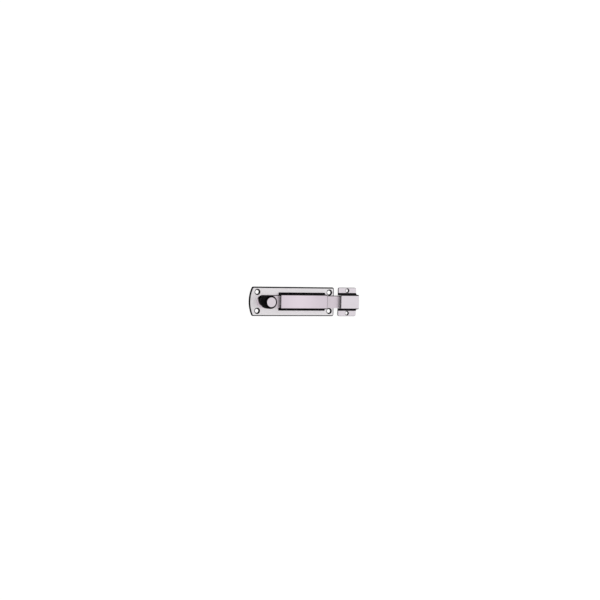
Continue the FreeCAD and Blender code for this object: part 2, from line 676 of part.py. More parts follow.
pieces = [
    build_back_plate(),
    build_housing(),
    build_slide_bar(),
    build_knob(),
    build_knob_screw(),
    build_friction_spring(),
    build_stop_pin(),
    build_keeper(),
]
doc.recompute()
check_document()
write_pieces(pieces)
print("screw pitch %.2f by %.2f, keeper pitch %.2f, travel %.2f to %.2f" % (
    size("pitch_x"), size("pitch_y"), size("keeper_width") - 2 * size("keeper_side_margin"),
    -size("travel_back"), size("travel_forward")))
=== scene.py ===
# %% [markdown]
# A flat slide bolt, finished for rendering.
# The real object is a pressed plate with a box housing, a flat bar that slides through it, a turned knob on
# the bar's tail, and a separate keeper. It looks nickel plated all over. Its construction is loaded as a
# fixed frame, and each cell below adds one piece of surface, one finish or one part of the studio. A size
# that the frame already holds is read from it, so that a changed frame is followed here.

# %% Load the fixed frame
import math

import bmesh
import bpy
import numpy as np
from mathutils import Matrix, Vector


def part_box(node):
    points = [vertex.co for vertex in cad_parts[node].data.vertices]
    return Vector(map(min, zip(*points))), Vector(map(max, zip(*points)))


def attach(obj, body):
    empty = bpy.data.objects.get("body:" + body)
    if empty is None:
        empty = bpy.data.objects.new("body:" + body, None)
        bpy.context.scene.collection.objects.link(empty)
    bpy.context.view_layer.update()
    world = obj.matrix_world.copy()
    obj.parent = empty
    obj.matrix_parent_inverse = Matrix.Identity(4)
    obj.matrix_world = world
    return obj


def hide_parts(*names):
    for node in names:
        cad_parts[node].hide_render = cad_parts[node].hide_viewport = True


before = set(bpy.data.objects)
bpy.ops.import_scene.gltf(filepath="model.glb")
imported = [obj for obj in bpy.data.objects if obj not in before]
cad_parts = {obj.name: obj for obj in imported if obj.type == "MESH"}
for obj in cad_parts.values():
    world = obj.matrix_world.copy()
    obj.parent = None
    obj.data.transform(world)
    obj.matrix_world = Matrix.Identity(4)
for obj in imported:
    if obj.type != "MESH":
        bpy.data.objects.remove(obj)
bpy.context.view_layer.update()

# %% [markdown]
# The pieces are worked out in millimetres, a handy unit at this size, and are turned into metres only when
# a mesh is built. One short function gives the lowest and highest corner of a framed piece in millimetres.

# %% Sizes read from the frame
MM = 0.001


def corners_of(node):
    """The lowest and the highest corner of a framed piece, in millimetres."""
    return [np.array(corner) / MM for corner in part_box(node)]


plate_low, plate_high = corners_of("back_plate")
box_low, box_high = corners_of("housing")
bar_low, bar_high = corners_of("slide_bar")
knob_low, knob_high = corners_of("knob")
keeper_low, keeper_high = corners_of("keeper")
knob_x = (knob_low[0] + knob_high[0]) / 2
print("knob axis at x = %.2f mm, plate %.1f mm thick" % (knob_x, plate_high[2]))

# %% [markdown]
# Polished metal shows every fault of a surface, because it mirrors the room. A wide flat face next to a
# rounding looks bent if its corner normals lean over, so each flat run gets a rail: one more row of points
# close to its end. The lean is then shut in between the rail and the rounding. Paths are arrays of points,
# and the rails are put in for all runs at once.

# %% Paths with round corners and rails
RAIL = 0.05
ARC_STEP = math.radians(7.5)


def unit(rows):
    """Each row divided by its own length."""
    return rows / np.linalg.norm(rows, axis=-1, keepdims=True)


def rounded(corners):
    """A closed path of straight runs joined by tangent arcs. A corner is x, y and the radius of its arc."""
    path = []
    for index, (x, y, radius) in enumerate(corners):
        here = np.array((x, y))
        if radius == 0:
            path.append(here[None])
            continue
        before = unit(np.array(corners[index - 1][:2]) - here)
        after = unit(np.array(corners[(index + 1) % len(corners)][:2]) - here)
        half = math.acos(float(before @ after)) / 2
        centre = here + unit(before + after) * radius / math.sin(half)
        first = here + before * radius / math.tan(half) - centre
        last = here + after * radius / math.tan(half) - centre
        start = math.atan2(first[1], first[0])
        turn = math.atan2(first[0] * last[1] - first[1] * last[0], first @ last)
        angles = start + turn * np.linspace(0, 1, 2 + int(abs(turn) / ARC_STEP))
        path.append(centre + radius * np.stack([np.cos(angles), np.sin(angles)], axis=1))
    return np.concatenate(path)


def railed(path):
    """The closed path with a point added a rail's width from both ends of each long straight run."""
    run = np.roll(path, -1, axis=0) - path
    length = np.linalg.norm(run, axis=1, keepdims=True)
    step = run * RAIL / np.maximum(length, RAIL)
    choices = np.stack([path, path + step, path + run - step], axis=1)
    long = length[:, 0] > 8 * RAIL
    keep = np.stack([np.ones_like(long), long, long], axis=1)
    return choices[keep]


def inward(path):
    """The mitred step of 1 mm to the left of a closed path: both neighbours' normals over 1 + cosine."""
    ahead = unit(np.roll(path, -1, axis=0) - path)
    behind = np.roll(ahead, 1, axis=0)
    normals = np.stack([-(ahead + behind)[:, 1], (ahead + behind)[:, 0]], axis=1)
    return normals / (1 + np.sum(ahead * behind, axis=1, keepdims=True))


# %% [markdown]
# Every piece here is a closed skin made of rows of points. Rows that follow each other are joined by
# four-sided faces, and the first and last row are closed by one flat face each, or shrink to a point on an
# axis. One function builds the mesh from the whole array, merges the doubled points and turns the faces
# outwards. Edges that turn by more than 35 degrees are left sharp.

# %% From rows of points to a piece
SHARP = math.radians(35)
MERGE = 0.002 * MM
SHORTEST_EDGE = 0.001 * MM


def faces_of(rows, columns, first):
    """Four corner numbers for each face of a sheet of closed rows, counted from a first number."""
    row, column = np.meshgrid(np.arange(rows - 1), np.arange(columns), indexing="ij")
    beside = (column + 1) % columns
    low = row * columns
    high = low + columns
    corners = [low + column, low + beside, high + beside, high + column]
    return first + np.stack(corners, axis=-1).reshape(-1, 4)


def finish_mesh(mesh):
    """Merges doubled points, turns the faces outwards and shades all but the sharp edges smoothly."""
    work = bmesh.new()
    work.from_mesh(mesh)
    bmesh.ops.remove_doubles(work, verts=work.verts, dist=MERGE)
    bmesh.ops.dissolve_degenerate(work, edges=work.edges, dist=SHORTEST_EDGE)
    bmesh.ops.recalc_face_normals(work, faces=work.faces)
    open_edges = sum(1 for edge in work.edges if len(edge.link_faces) != 2)
    work.to_mesh(mesh)
    work.free()
    mesh.polygons.foreach_set("use_smooth", np.ones(len(mesh.polygons), dtype=bool))
    mesh.set_sharp_from_angle(angle=SHARP)
    return open_edges


def skin(name, sheets):
    """One object from closed sheets, each an array of rows by columns by three, in millimetres."""
    points = np.concatenate([sheet.reshape(-1, 3) for sheet in sheets]) * MM
    faces = []
    first = 0
    for sheet in sheets:
        rows, columns, _ = sheet.shape
        faces += faces_of(rows, columns, first).tolist()
        faces.append(list(range(first, first + columns)))
        faces.append(list(range(first + (rows - 1) * columns, first + rows * columns)))
        first += rows * columns
    mesh = bpy.data.meshes.new(name)
    mesh.from_pydata(points.tolist(), [], faces)
    piece = bpy.data.objects.new(name, mesh)
    bpy.context.scene.collection.objects.link(piece)
    open_edges = finish_mesh(mesh)
    print(name, len(mesh.polygons), "faces,", open_edges, "open edges")
    return piece


# %% [markdown]
# The plate, the bar and the knob have holes, slots and grooves. A hole in a sheet is cut on the real bolt
# too, by a punch or a drill, so the same is done here: a cutter with the hole's shape is subtracted and
# then thrown away. The other way, weaving each hole into the grid, would bend the flat faces round it.

# %% Cutters
TURN_STEPS = 48
HOLE_LIP = 0.12


def turned(profile, x, y, steps=TURN_STEPS):
    """A profile of radius and height carried round an upright axis: x + r cos a, y + r sin a, height."""
    profile = np.array(profile, dtype=float)
    angle = np.linspace(0, 2 * np.pi, steps, endpoint=False)
    radius = profile[:, :1]
    height = np.repeat(profile[:, 1:], steps, axis=1)
    return np.stack([x + radius * np.cos(angle), y + radius * np.sin(angle), height], axis=-1)


def block(low, high):
    """The six-sided sheet between two corners, as two rows of four points."""
    x = np.array([low[0], high[0], high[0], low[0]])
    y = np.array([low[1], low[1], high[1], high[1]])
    return np.stack([np.stack([x, y, np.full(4, z)], axis=-1) for z in (low[2], high[2])])


def carve(piece, sheets):
    """Subtracts the closed sheets from the piece, one after the other, and keeps only the result."""
    for sheet in sheets:
        cutter = skin("cutter", [sheet])
        modifier = piece.modifiers.new("carve", "BOOLEAN")
        modifier.operation = "DIFFERENCE"
        modifier.solver = "EXACT"
        modifier.object = cutter
        view = bpy.context.evaluated_depsgraph_get()
        carved = bpy.data.meshes.new_from_object(piece.evaluated_get(view))
        piece.modifiers.clear()
        piece.data = carved
        bpy.data.objects.remove(cutter)
    piece.data.name = piece.name
    print(piece.name, "carved,", finish_mesh(piece.data), "open edges")


def screw_hole(x, y, bore, sink, face):
    """A cutter for a countersunk hole: the bore, a 45 degree cone up to the face, and a small broken lip."""
    depth = (sink - bore) / 2
    wide = sink / 2 + HOLE_LIP / 2
    return turned([
        (0, -1), (bore / 2, -1), (bore / 2, face - depth), (sink / 2 - HOLE_LIP, face - HOLE_LIP),
        (wide, face + HOLE_LIP / 6), (wide, face + 1), (0, face + 1)], x, y)


# %% [markdown]
# The back plate is stamped from sheet, and the stamping leaves its front edge drawn over in a soft curve,
# wider than it is deep. Its outline is round arcs joined by straight runs. The skin is that outline carried
# up the side and over the edge: each row is the outline moved in by an inset and lifted to a height, and
# the two follow a quarter of an ellipse.

# %% The plate's rim
PLATE_BULGE = 3.8
ARC_CORNER = 2.4
SQUARE_CORNER = 2.2
EDGE_WIDE = 1.8
EDGE_DEEP = 1.2
BACK_BREAK = 0.15
RIM_STEPS = 12


def arc(x, y, radius, first, last):
    """One arc of an outline, as its centre, radius, first angle and turn."""
    return (x, y, radius, first, last - first)


def outline(arcs, inset):
    """The arcs' points in order, each arc's radius less by the inset. Straight runs join the arcs."""
    parts = []
    for x, y, radius, first, turn in arcs:
        angles = first + turn * np.linspace(0, 1, 2 + int(radius * abs(turn) / 0.6))
        reach = radius - inset
        parts.append(np.stack([x + reach * np.cos(angles), y + reach * np.sin(angles)], axis=1))
    return np.concatenate(parts)


def rim(arcs, low, high, wide, deep):
    """Rows of an outline from the back face, up the side and over a quarter ellipse to the front rail."""
    angle = np.linspace(0, np.pi / 2, RIM_STEPS)
    inset = np.concatenate([[BACK_BREAK + RAIL, BACK_BREAK, 0], wide * (1 - np.cos(angle)), [wide + RAIL]])
    height = np.concatenate([[low, low, low + BACK_BREAK], high - deep + deep * np.sin(angle), [high]])
    rows = [np.c_[outline(arcs, i), np.full(len(outline(arcs, i)), h)] for i, h in zip(inset, height)]
    return np.stack(rows)


def plate_arcs():
    """The plate's four corners and its bulged end, counterclockwise from the lower right corner."""
    half = plate_high[1]
    end_radius = (PLATE_BULGE ** 2 + half ** 2) / (2 * PLATE_BULGE)
    end_x = plate_low[0] + end_radius
    corner_y = half - ARC_CORNER
    corner_x = end_x - math.sqrt((end_radius - ARC_CORNER) ** 2 - corner_y ** 2)
    lean = math.asin(corner_y / (end_radius - ARC_CORNER))
    right_x = plate_high[0] - SQUARE_CORNER
    right_y = half - SQUARE_CORNER
    quarter = math.pi / 2
    return [
        arc(right_x, -right_y, SQUARE_CORNER, -quarter, 0),
        arc(right_x, right_y, SQUARE_CORNER, 0, quarter),
        arc(corner_x, corner_y, ARC_CORNER, quarter, math.pi - lean),
        arc(end_x, 0, end_radius, math.pi - lean, math.pi + lean),
        arc(corner_x, -corner_y, ARC_CORNER, math.pi + lean, 3 * quarter),
    ]


plate = skin("plate_skin", [rim(plate_arcs(), plate_low[2], plate_high[2], EDGE_WIDE, EDGE_DEEP)])

# %% [markdown]
# The photograph shows four countersunk holes for wood screws. It doesn't show how the housing is held. The
# frame has four slots for the housing's tabs and one round hole for a stop pin, which would show from the
# back, where the tabs and the pin are staked over.

# %% The plate's holes and slots
PLATE_HOLE_X = 44.0
PLATE_HOLE_Y = 10.4
PLATE_BORE = 4.3
PLATE_SINK = 6.9
TAB_LENGTH = 7.0
TAB_THICK = 1.0
TAB_MARGIN = 6.0
TAB_Y = 7.825
FIT = 0.03
PIN_STAKE = 0.5
PIN_SHANK = 1.5


def tab_places():
    """The low and high corner, without heights, of each of the four tabs."""
    starts = (box_low[0] + TAB_MARGIN, box_high[0] - TAB_MARGIN - TAB_LENGTH)
    return [
        (np.array([x, side * TAB_Y - TAB_THICK / 2]),
         np.array([x + TAB_LENGTH, side * TAB_Y + TAB_THICK / 2]))
        for x in starts for side in (-1, 1)]


pin_low, pin_high = corners_of("stop_pin")
pin_x = (pin_low[0] + pin_high[0]) / 2
cuts = [
    screw_hole(x, y, PLATE_BORE, PLATE_SINK, plate_high[2])
    for x in (-PLATE_HOLE_X, PLATE_HOLE_X) for y in (-PLATE_HOLE_Y, PLATE_HOLE_Y)]
cuts += [block([*(low - FIT), -1], [*(high + FIT), plate_high[2] + 1]) for low, high in tab_places()]
cuts.append(turned([
    (0, -0.2), (PIN_SHANK + PIN_STAKE + FIT, -0.2), (PIN_SHANK + PIN_STAKE + FIT, 0),
    (PIN_SHANK + FIT, PIN_STAKE), (PIN_SHANK + FIT, plate_high[2] + 1), (0, plate_high[2] + 1)], pin_x, 0))
carve(plate, cuts)

# %% [markdown]
# The housing is one pressed section carried along the bar: a steep side with a flared foot on each side and
# a flat top, open below. A section carried along a line is the simplest surface there is, a function of the
# way round the section and the way along the bar. At each end the section draws in over a small quarter
# ellipse, so that the ends are eased as pressed sheet is and not cut like card. The end towards the keeper
# is eased over a longer way. The sharp feet draw in only a tenth as far, because a step that is longer than
# a rail would fold their corners over.

# %% A section carried along the bar
END_STEPS = 4


def carried(section, start, end, reaches, drop, cut_back=0):
    """Rows of a closed section from start to end. Each end draws in by drop over its own reach, on a quarter
    ellipse: x = reach (1 - cos t), inset = drop (1 - sin t). cut_back moves a point's ends to the middle."""
    turn = np.linspace(0, np.pi / 2, END_STEPS + 1)
    eased = np.append(1 - np.cos(turn), 1)
    railing = np.append(np.zeros(END_STEPS + 1), RAIL)
    back = np.zeros(len(section)) + cut_back
    first, last = [(reach * eased + railing)[:, None] + back for reach in reaches]
    x = np.concatenate([start + first, end - last[::-1]])
    drawn = np.append(1 - np.sin(turn), 0)
    inset = np.concatenate([drawn, drawn[::-1]])[:, None] * (np.zeros(len(section)) + drop)
    step = inward(section)
    return np.stack([x, section[:, 0] + inset * step[:, 0], section[:, 1] + inset * step[:, 1]], axis=-1)


# %% The housing
ROOF = 1.3
WALL = 0.75
LEAN = 0.6
FOOT_RISE = 1.3
FOOT_HOLLOW = 1.5
TOP_ROUND = 1.1
MOUTH_EASE = 0.25
FAR_EASE = 0.8
END_DROP = 0.25
BAR_SIDE_GAP = 0.12
INSIDE_ROUND = 0.3

channel = bar_high[1] + BAR_SIDE_GAP
top_half = channel + WALL
side_half = top_half + LEAN
foot_half = box_high[1]
floor_z = plate_high[2]
top_z = box_high[2]
half_section = [
    (foot_half, floor_z, 0), (foot_half, floor_z + 0.12, 0.05), (side_half, floor_z + FOOT_RISE, FOOT_HOLLOW),
    (top_half, top_z, TOP_ROUND)]
mirrored = [(-y, z, radius) for y, z, radius in reversed(half_section)]
under = [
    (-channel, floor_z, 0), (-channel, top_z - ROOF, INSIDE_ROUND), (channel, top_z - ROOF, INSIDE_ROUND),
    (channel, floor_z, 0)]
housing_section = railed(rounded(half_section + mirrored + under))
end_drop = END_DROP * np.clip(housing_section[:, 1] - floor_z - 0.3, 0.1, 1)
tabs = [block([*low, FIT], [*high, floor_z + 0.3]) for low, high in tab_places()]
housing = skin("housing_skin", [
    carried(housing_section, box_low[0], box_high[0], (MOUTH_EASE, FAR_EASE), end_drop), *tabs])

# %% [markdown]
# The bar is a flat strip with a round tail and a tip whose two corners are cut off. Its front edges are
# eased so that it slides well. The way is the same as for the plate: its outline is carried up the side and
# over the edge. An arc with only its two end points is a straight cut, which gives the tip its chamfers.

# %% The bar
TIP_CHAMFER = 0.8
BAR_EDGE = 0.7
half_bar = bar_high[1]
tail_x = bar_low[0] + half_bar
tip_x = bar_high[0] - TIP_CHAMFER
tip_y = half_bar - TIP_CHAMFER
bar_arcs = [
    arc(tip_x, -tip_y, TIP_CHAMFER, -math.pi / 2, 0),
    arc(tip_x, tip_y, TIP_CHAMFER, 0, math.pi / 2),
    arc(tail_x, 0, half_bar, math.pi / 2, 3 * math.pi / 2),
]
bar = skin("bar_skin", [rim(bar_arcs, bar_low[2], bar_high[2], BAR_EDGE, BAR_EDGE)])

# %% [markdown]
# In the frame the bar has three cuts that the photograph doesn't show: a shallow seat in front for the
# bowed spring, a groove behind in which the stop pin runs, and the countersunk hole of the screw that holds
# the knob. They show only when the bolt is taken apart, but a piece that is solid there would pass through
# the spring and the pin.

# %% The bar's seat, groove and screw hole
SEAT_DEPTH = 0.3
SEAT_GAP = 0.1
GROOVE_DEPTH = 1.1
GROOVE_HALF = 2.35
PIN_RUN = 22.0
SCREW_HEAD = 3.53
SCREW_SHANK = 2.03
SCREW_DROP = 0.15
spring_low, spring_high = corners_of("friction_spring")
spring_x = (spring_low[0] + spring_high[0]) / 2
groove_reach = (PIN_RUN + 2 * GROOVE_HALF) / 2
bar_back, bar_front = bar_low[2], bar_high[2]
carve(bar, [
    block([spring_low[0] - SEAT_GAP, spring_low[1] - SEAT_GAP, bar_front - SEAT_DEPTH],
          [spring_high[0] + SEAT_GAP, spring_high[1] + SEAT_GAP, bar_front + 1]),
    block([spring_x - groove_reach, -GROOVE_HALF, bar_back - 1],
          [spring_x + groove_reach, GROOVE_HALF, bar_back + GROOVE_DEPTH]),
    turned([
        (0, bar_back - 1), (SCREW_HEAD, bar_back - 1), (SCREW_HEAD, bar_back + SCREW_DROP),
        (SCREW_SHANK, bar_back + SCREW_DROP + SCREW_HEAD - SCREW_SHANK), (SCREW_SHANK, bar_front + 1),
        (0, bar_front + 1)], knob_x, 0),
])

# %% [markdown]
# The knob is turned on a lathe, so its skin is a profile carried round its axis. The profile starts at the
# bottom of the blind screw hole, goes down and out over the foot, sweeps out into the straight head, and
# rolls over to the face. The sweeps are tangent arcs, as a form tool leaves them. Where the profile meets
# the axis all points of the row are one point, and the merge closes it.

# %% The knob
KNOB_STEPS = 96
HEAD = 7.4
HEAD_SIDE = 13.5
FACE_ROUND = 2.5
HEAD_SWEEP = 6.0
FOOT = 4.6
FOOT_ROUND = 0.15
FOOT_SIDE = 1.4
FOOT_SWEEP = 5.0
HOLE_DEPTH = 10.0
foot_z, face_z = knob_low[2], knob_high[2]
knob_corners = [
    (0, foot_z + HOLE_DEPTH, 0), (SCREW_SHANK, foot_z + HOLE_DEPTH, 0), (SCREW_SHANK, foot_z, 0),
    (FOOT, foot_z, FOOT_ROUND), (FOOT, foot_z + FOOT_SIDE, FOOT_SWEEP),
    (HEAD, face_z - HEAD_SIDE, HEAD_SWEEP), (HEAD, face_z, FACE_ROUND), (0, face_z, 0)]
ring = railed(rounded(knob_corners))
on_the_way = np.cumsum(np.linalg.norm(np.diff(ring, axis=0, prepend=ring[:1]), axis=1))
last = int(np.argmax((ring[:, 0] < 1e-6) & (on_the_way > 20)))
knob = skin("knob_skin", [turned(ring[:last + 1], knob_x, 0, KNOB_STEPS)])

# %% [markdown]
# The keeper is pressed from one strip: a box over the bar's tip and a flange on each side. It is again a
# section carried along the bar, now with the flanges in the section. Its edges are crisper than the
# plate's, so its ends are eased over a short way. The flanges' outer corners are rounded in plan, so there
# each point's end is cut back by its own amount, R - sqrt(R^2 - d^2), where d is how far the point lies
# past the start of the corner. That leaves the two end faces not quite flat, so they are split into
# triangles before the holes are cut.

# %% The keeper
KEEPER_FLANGE = 2.0
KEEPER_GAP = 0.35
KEEPER_CORNER = 1.6
KEEPER_EDGE_WIDE = 0.5
KEEPER_EDGE_DEEP = 0.4
KEEPER_EASE = 0.25
KEEPER_DROP = 0.04
KEEPER_HOLE_Y = 12.7
KEEPER_BORE = 3.4
KEEPER_SINK = 5.0
outer = keeper_high[1]
inner = half_bar + KEEPER_GAP
edge_angle = np.linspace(0, np.pi / 2, 9)
edge_y = outer - KEEPER_EDGE_WIDE * (1 - np.cos(edge_angle))
edge_z = KEEPER_FLANGE - KEEPER_EDGE_DEEP * (1 - np.sin(edge_angle))
corner_y = np.linspace(edge_y[-1] - 2 * RAIL, outer - KEEPER_CORNER, 7)
right_half = [(outer, 0, 0)] + [(y, z, 0) for y, z in zip(edge_y, edge_z)]
right_half += [(y, KEEPER_FLANGE, 0) for y in corner_y]
right_half += [
    (foot_half, KEEPER_FLANGE, 0.05), (side_half, KEEPER_FLANGE + FOOT_RISE, FOOT_HOLLOW),
    (top_half, keeper_high[2], TOP_ROUND)]
left_half = [(-y, z, radius) for y, z, radius in reversed(right_half)]
below = [(-y, 0, 0) for y in corner_y]
mirrored_below = [(y, 0, 0) for y in corner_y[::-1]]
inside = [
    (-inner, 0, 0), (-inner, top_z - ROOF, INSIDE_ROUND), (inner, top_z - ROOF, INSIDE_ROUND), (inner, 0, 0)]
keeper_section = railed(rounded(right_half + left_half + below + inside + mirrored_below))
past_corner = np.clip(np.abs(keeper_section[:, 0]) - (outer - KEEPER_CORNER), 0, KEEPER_CORNER)
cut_back = KEEPER_CORNER - np.sqrt(KEEPER_CORNER ** 2 - past_corner ** 2)
keeper = skin("keeper_skin", [carried(
    keeper_section, keeper_low[0], keeper_high[0], (KEEPER_EASE, KEEPER_EASE), KEEPER_DROP, cut_back)])
work = bmesh.new()
work.from_mesh(keeper.data)
bmesh.ops.triangulate(work, faces=[face for face in work.faces if len(face.verts) > 4])
work.to_mesh(keeper.data)
work.free()
keeper_x = (keeper_low[0] + keeper_high[0]) / 2
carve(keeper, [
    screw_hole(keeper_x, side * KEEPER_HOLE_Y, KEEPER_BORE, KEEPER_SINK, KEEPER_FLANGE) for side in (-1, 1)])

# %% [markdown]
# Each skin now takes the place of its framed piece: it rides on the same body, so it moves with it.

# %% Put the skins in place of the framed pieces
PLACES = [
    (plate, "bolt_body", "back_plate", "plate_metal"),
    (housing, "bolt_body", "housing", "housing_metal"),
    (bar, "sliding_bar", "slide_bar", "bar_metal"),
    (knob, "sliding_bar", "knob", "knob_metal"),
    (keeper, "keeper_body", "keeper", "housing_metal"),
]
for piece, body, node, finish in PLACES:
    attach(piece, body)
    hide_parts(node)

# %% [markdown]
# In the photograph this nickel has two looks: faces towards the front are bright, and nearly all that turns
# away is black. On the real bolt that is most likely a dark room mirrored in polished sides. In a pale
# studio plain metal shows no black on its sides, so here the black is painted into the finish: a painted
# dark reflection, with painted shade. That is a choice for likeness to one photograph, and from other
# angles the sides look black. The mask is made from the upright part of the surface's direction in the
# scene, broken up by a noise, which suits pieces that slide and never turn. Shadeward is a direction and a
# strength, both fitted to the photograph: it stands for light from the other side, so there is more painted
# dark on what faces that way and less on what faces against it. A flat back is bright and the inside of a
# roof is painted dark, so that is an input too. All the nickel uses this mask, so it is a node group, built
# once and given its own values each time.

# %% A group for the painted dark reflection and shade
PAINTED_DARK_WAVES = 600.0


def new_group(name, inputs, outputs):
    """An empty node group with named sockets. Each input is a name, a kind and a starting value."""
    group = bpy.data.node_groups.new(name, "ShaderNodeTree")
    for label, kind, value in inputs:
        socket = group.interface.new_socket(label, in_out="INPUT", socket_type="NodeSocket" + kind)
        socket.default_value = value
    for label, kind in outputs:
        group.interface.new_socket(label, in_out="OUTPUT", socket_type="NodeSocket" + kind)
    return group, group.nodes.new("NodeGroupInput"), group.nodes.new("NodeGroupOutput")


def plug(tree, source, target):
    """A link from one socket, or a plain value, to another socket."""
    if isinstance(source, bpy.types.NodeSocket):
        tree.links.new(source, target)
    else:
        target.default_value = source


def math_node(tree, operation, first, second=None):
    """The result of a math node on one or two sockets or numbers."""
    node = tree.nodes.new("ShaderNodeMath")
    node.operation = operation
    plug(tree, first, node.inputs[0])
    if second is not None:
        plug(tree, second, node.inputs[1])
    return node.outputs[0]


def ramp_node(tree, value, low, high, start, end):
    """A smooth step of a value: start below low, end above high."""
    node = tree.nodes.new("ShaderNodeMapRange")
    node.interpolation_type = "SMOOTHSTEP"
    for socket, given in zip(node.inputs, (value, low, high, start, end)):
        plug(tree, given, socket)
    return node.outputs[0]


def mix_node(tree, factor, first, second):
    """A colour between two colours."""
    node = tree.nodes.new("ShaderNodeMix")
    node.data_type = "RGBA"
    plug(tree, factor, node.inputs["Factor"])
    plug(tree, first, node.inputs[6])
    plug(tree, second, node.inputs[7])
    return node.outputs[2]


def noise_node(tree, place, scale, detail=3.0):
    """Noise between 0 and 1 at a place, with a scale in waves to the metre."""
    node = tree.nodes.new("ShaderNodeTexNoise")
    node.inputs["Scale"].default_value = scale
    node.inputs["Detail"].default_value = detail
    plug(tree, place, node.inputs["Vector"])
    return node.outputs["Fac"]


def object_place(tree):
    """The place on the piece, in metres, which stays with it as it moves."""
    return tree.nodes.new("ShaderNodeTexCoord").outputs["Object"]


painted_dark_group, painted_dark_in, painted_dark_out = new_group(
    "painted_dark_reflection",
    [("Full tilt", "Float", 0.965), ("No tilt", "Float", 0.994), ("Ragged", "Float", 0.008),
     ("Bright back", "Float", 1.0), ("Shadeward", "Vector", (0, 0.08, 0))],
    [("Painted dark", "Float")])
geometry = painted_dark_group.nodes.new("ShaderNodeNewGeometry")
parts = painted_dark_group.nodes.new("ShaderNodeSeparateXYZ")
painted_dark_group.links.new(geometry.outputs["Normal"], parts.inputs[0])
toward_back = math_node(painted_dark_group, "MULTIPLY", parts.outputs["Z"], -1.0)
upright = math_node(painted_dark_group, "MAXIMUM", parts.outputs["Z"], math_node(
    painted_dark_group, "MULTIPLY", toward_back, painted_dark_in.outputs["Bright back"]))
patches = noise_node(painted_dark_group, object_place(painted_dark_group), PAINTED_DARK_WAVES)
centred = math_node(painted_dark_group, "SUBTRACT", patches, 0.5)
shift = math_node(painted_dark_group, "MULTIPLY", centred, painted_dark_in.outputs["Ragged"])
shadeward_lean = painted_dark_group.nodes.new("ShaderNodeVectorMath")
shadeward_lean.operation = "DOT_PRODUCT"
painted_dark_group.links.new(geometry.outputs["Normal"], shadeward_lean.inputs[0])
painted_dark_group.links.new(painted_dark_in.outputs["Shadeward"], shadeward_lean.inputs[1])
ragged = math_node(painted_dark_group, "ADD", upright, shift)
tilted = math_node(painted_dark_group, "SUBTRACT", ragged, shadeward_lean.outputs["Value"])
painted_dark = ramp_node(painted_dark_group, tilted, painted_dark_in.outputs["Full tilt"], painted_dark_in.outputs["No tilt"], 1.0, 0.0)
painted_dark_group.links.new(painted_dark, painted_dark_out.inputs["Painted dark"])

# %% [markdown]
# The photograph is too small to show any grain. Strip for bolts like this is commonly brushed along its
# length before it is plated, so the plate, the housing, the bar and the keeper are given fine lines along
# the bar, a few thousandths of a millimetre high and many millimetres long. Noise on coordinates that are
# squeezed along the bar gives such lines, and the group puts out both their height, for the bump, and a
# tone, because brushed lines differ slightly in how bright they are.

# %% A group for the brushed grain
GRAIN_SQUEEZE = 0.02
FINE_WAVES = 9000.0
BROAD_WAVES = 700.0
FINE_SHARE = 0.6
BROAD_SHARE = 0.4
grain_group, grain_in, grain_out = new_group(
    "brushed_grain",
    [("Fineness", "Float", 1.0), ("Contrast", "Float", 0.1)],
    [("Height", "Float"), ("Tone", "Float")])
stretch = grain_group.nodes.new("ShaderNodeMapping")
stretch.inputs["Scale"].default_value = (GRAIN_SQUEEZE, 1.0, 1.0)
grain_group.links.new(object_place(grain_group), stretch.inputs["Vector"])
sized = grain_group.nodes.new("ShaderNodeVectorMath")
sized.operation = "SCALE"
grain_group.links.new(stretch.outputs[0], sized.inputs[0])
grain_group.links.new(grain_in.outputs["Fineness"], sized.inputs["Scale"])
fine = noise_node(grain_group, sized.outputs[0], FINE_WAVES, 2.0)
broad = noise_node(grain_group, sized.outputs[0], BROAD_WAVES, 2.0)
lines = math_node(grain_group, "ADD", math_node(grain_group, "MULTIPLY", fine, FINE_SHARE), math_node(
    grain_group, "MULTIPLY", broad, BROAD_SHARE))
grain_group.links.new(lines, grain_out.inputs["Height"])
off_mean = math_node(grain_group, "SUBTRACT", lines, 0.5)
swing = math_node(grain_group, "MULTIPLY", off_mean, grain_in.outputs["Contrast"])
grain_group.links.new(math_node(grain_group, "ADD", swing, 1.0), grain_out.inputs["Tone"])

# %% [markdown]
# Handled metal is never evenly clean. Fingers leave smears that dull the polish, and dust settles in
# patches. The photograph is too small to show either, so both are kept faint. They are broad soft noise,
# one for how dull the surface is and one for how light it is.

# %% A group for smears and dust
SMEAR_WAVES = 90.0
DUST_WAVES = 45.0
smear_group, smear_in, smear_out = new_group(
    "smears",
    [("Dulling", "Float", 0.08), ("Shade", "Float", 0.05)],
    [("Roughness", "Float"), ("Tone", "Float")])
place = object_place(smear_group)
dull = ramp_node(smear_group, noise_node(smear_group, place, SMEAR_WAVES), 0.45, 0.75, 0.0, 1.0)
patchy = math_node(smear_group, "SUBTRACT", noise_node(smear_group, place, DUST_WAVES), 0.5)
smear_group.links.new(
    math_node(smear_group, "MULTIPLY", dull, smear_in.outputs["Dulling"]), smear_out.inputs["Roughness"])
smear_group.links.new(
    math_node(smear_group, "ADD", math_node(smear_group, "MULTIPLY", patchy, smear_in.outputs["Shade"]), 1.0),
    smear_out.inputs["Tone"])

